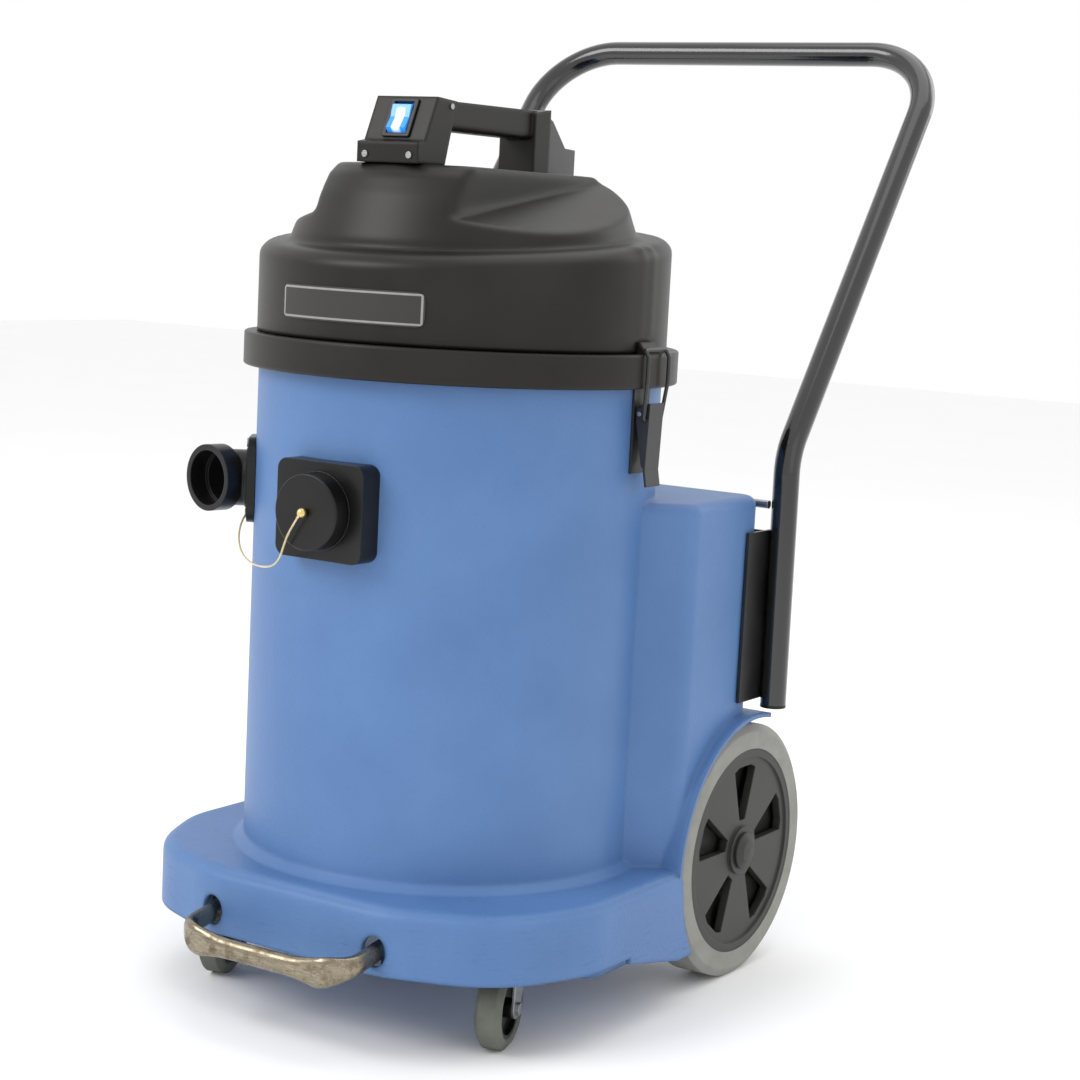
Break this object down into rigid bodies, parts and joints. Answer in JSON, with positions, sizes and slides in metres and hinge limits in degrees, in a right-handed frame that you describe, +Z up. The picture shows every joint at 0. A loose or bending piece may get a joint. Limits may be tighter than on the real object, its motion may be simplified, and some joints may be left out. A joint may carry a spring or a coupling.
{
  "type": "wet and dry vacuum cleaner",
  "caption": "Wheeled commercial wet vacuum: round drum tank on a chassis deck, lift-off motor head, hose inlet, tubular push handle.",
  "frame": {"origin": "on the floor below the middle of the whole machine", "axes": "+Z up; the machine faces -Y, with the push handle towards +Y"},
  "size_m": [0.4998, 0.7942, 0.9294],
  "materials": {
    "blue_tank": "rotomoulded polyethylene, fine orange peel",
    "black_head": "fine grained moulded plastic",
    "black_moulding": "smooth injection moulding",
    "grey_moulding": "grained moulding",
    "seal_rubber": "soft foam rubber",
    "brass_trim": "polished",
    "tether_line": "clear line gone yellow",
    "zinc_steel": "zinc plated",
    "black_steel": "black powder coat",
    "black_tube": "gloss black stove enamel",
    "tarnished_chrome": "tarnished plating",
    "motor_steel": "pressed steel",
    "float_plastic": "natural polypropylene",
    "blue_rocker": "lit translucent rocker",
    "badge_plate": "blank plate with a pale outline",
    "grey_tyre": "grey non-marking rubber",
    "wheel_black": "moulded black nylon",
    "bush_nylon": "natural nylon"
  },
  "bodies": {
    "chassis": {"tank": "blue_tank", "rim_seal": "seal_rubber", "port_plate": "black_moulding", "port_neck": "black_moulding", "inlet_plate": "black_moulding", "inlet_screws": "zinc_steel", "inlet_elbow": "black_moulding", "latch_plate_left": "black_steel", "latch_plate_right": "black_steel", "latch_pins": "zinc_steel", "rear_axle": "zinc_steel", "caster_plate_left": "zinc_steel", "caster_plate_right": "zinc_steel", "push_handle": "black_tube", "handle_bracket_left": "black_steel", "handle_bracket_right": "black_steel", "handle_bolts": "zinc_steel", "tube_plugs": "black_moulding", "tipping_bar": "tarnished_chrome"},
    "head": {"motor_plate": "black_head", "head_cover": "black_head", "motor_case_left": "motor_steel", "motor_case_right": "motor_steel", "float_cage_left": "float_plastic", "float_cage_right": "float_plastic", "switch_box": "black_head", "switch_bezel": "black_moulding", "carry_handle": "black_head", "cord_entry": "grey_moulding", "cord_gland": "seal_rubber", "box_screws": "zinc_steel", "badge": "badge_plate"},
    "cap": {"port_cap": "black_moulding", "cap_rivet": "brass_trim", "cap_tether": "tether_line"},
    "rocker": {"switch_rocker": "blue_rocker"},
    "rotor_left": {"motor_rotor_left": "motor_steel"},
    "float_left": {"float_ball_left": "float_plastic"},
    "lever_left": {"latch_lever_left": "black_steel"},
    "bail_left": {"latch_bail_left": "black_steel"},
    "rear_wheel_left": {"wheel_tyre_left": "grey_tyre", "wheel_disc_left": "wheel_black", "wheel_bush_left": "bush_nylon", "hub_cap_left": "wheel_black"},
    "caster_swivel_left": {"caster_fork_left": "zinc_steel", "caster_axle_left": "zinc_steel"},
    "caster_wheel_left": {"caster_hub_left": "black_moulding", "caster_tyre_left": "grey_tyre"},
    "rotor_right": {"motor_rotor_right": "motor_steel"},
    "float_right": {"float_ball_right": "float_plastic"},
    "lever_right": {"latch_lever_right": "black_steel"},
    "bail_right": {"latch_bail_right": "black_steel"},
    "rear_wheel_right": {"wheel_tyre_right": "grey_tyre", "wheel_disc_right": "wheel_black", "wheel_bush_right": "bush_nylon", "hub_cap_right": "wheel_black"},
    "caster_swivel_right": {"caster_fork_right": "zinc_steel", "caster_axle_right": "zinc_steel"},
    "caster_wheel_right": {"caster_hub_right": "black_moulding", "caster_tyre_right": "grey_tyre"}
  },
  "joints": [
    {"name": "head_lift", "type": "slide", "parent": "chassis", "child": "head", "axis": [0, 0, 1], "range_m": [0, 0.1]},
    {"name": "cap_pull", "type": "slide", "parent": "chassis", "child": "cap", "axis": [0, -1, 0], "range_m": [0, 0.05]},
    {"name": "rocker_tilt", "type": "hinge", "parent": "head", "child": "rocker", "pos_m": [0, -0.22692, 0.8045], "axis": [1, 0, 0], "range_deg": [-10, 10]},
    {"name": "rotor_spin_left", "type": "hinge", "parent": "head", "child": "rotor_left", "pos_m": [-0.086, -0.122, 0.66], "axis": [0, 0, 1], "continuous": true},
    {"name": "float_rise_left", "type": "slide", "parent": "head", "child": "float_left", "axis": [0, 0, 1], "range_m": [0, 0.036]},
    {"name": "lever_open_left", "type": "hinge", "parent": "chassis", "child": "lever_left", "pos_m": [-0.1945, -0.109, 0.558], "axis": [0, 1, 0], "range_deg": [0, 61]},
    {"name": "bail_open_left", "type": "hinge", "parent": "lever_left", "child": "bail_left", "pos_m": [-0.201, -0.109, 0.553], "axis": [0, -1, 0], "range_deg": [0, 158]},
    {"name": "rear_wheel_spin_left", "type": "hinge", "parent": "chassis", "child": "rear_wheel_left", "pos_m": [-0.2, 0.0718, 0.125], "axis": [1, 0, 0], "continuous": true},
    {"name": "caster_turn_left", "type": "hinge", "parent": "chassis", "child": "caster_swivel_left", "pos_m": [-0.159, -0.235, 0.09], "axis": [0, 0, 1], "continuous": true},
    {"name": "caster_roll_left", "type": "hinge", "parent": "caster_swivel_left", "child": "caster_wheel_left", "pos_m": [-0.15349, -0.25423, 0.0375], "axis": [0.9613, 0.2756, 0], "continuous": true},
    {"name": "rotor_spin_right", "type": "hinge", "parent": "head", "child": "rotor_right", "pos_m": [0.086, -0.122, 0.66], "axis": [0, 0, 1], "continuous": true},
    {"name": "float_rise_right", "type": "slide", "parent": "head", "child": "float_right", "axis": [0, 0, 1], "range_m": [0, 0.036]},
    {"name": "lever_open_right", "type": "hinge", "parent": "chassis", "child": "lever_right", "pos_m": [0.1945, -0.109, 0.558], "axis": [0, -1, 0], "range_deg": [0, 61]},
    {"name": "bail_open_right", "type": "hinge", "parent": "lever_right", "child": "bail_right", "pos_m": [0.201, -0.109, 0.553], "axis": [0, 1, 0], "range_deg": [0, 158]},
    {"name": "rear_wheel_spin_right", "type": "hinge", "parent": "chassis", "child": "rear_wheel_right", "pos_m": [0.2, 0.0718, 0.125], "axis": [1, 0, 0], "continuous": true},
    {"name": "caster_turn_right", "type": "hinge", "parent": "chassis", "child": "caster_swivel_right", "pos_m": [0.159, -0.235, 0.09], "axis": [0, 0, 1], "continuous": true},
    {"name": "caster_roll_right", "type": "hinge", "parent": "caster_swivel_right", "child": "caster_wheel_right", "pos_m": [0.16451, -0.25423, 0.0375], "axis": [0.9613, 0.2756, 0], "continuous": true}
  ],
  "couplings": [
    {"joint": "lever_open_left", "follows": "head_lift", "rad_per_m": 10.5},
    {"joint": "bail_open_left", "follows": "head_lift", "rad_per_m": 27.5},
    {"joint": "lever_open_right", "follows": "head_lift", "rad_per_m": 10.5},
    {"joint": "bail_open_right", "follows": "head_lift", "rad_per_m": 27.5}
  ]
}
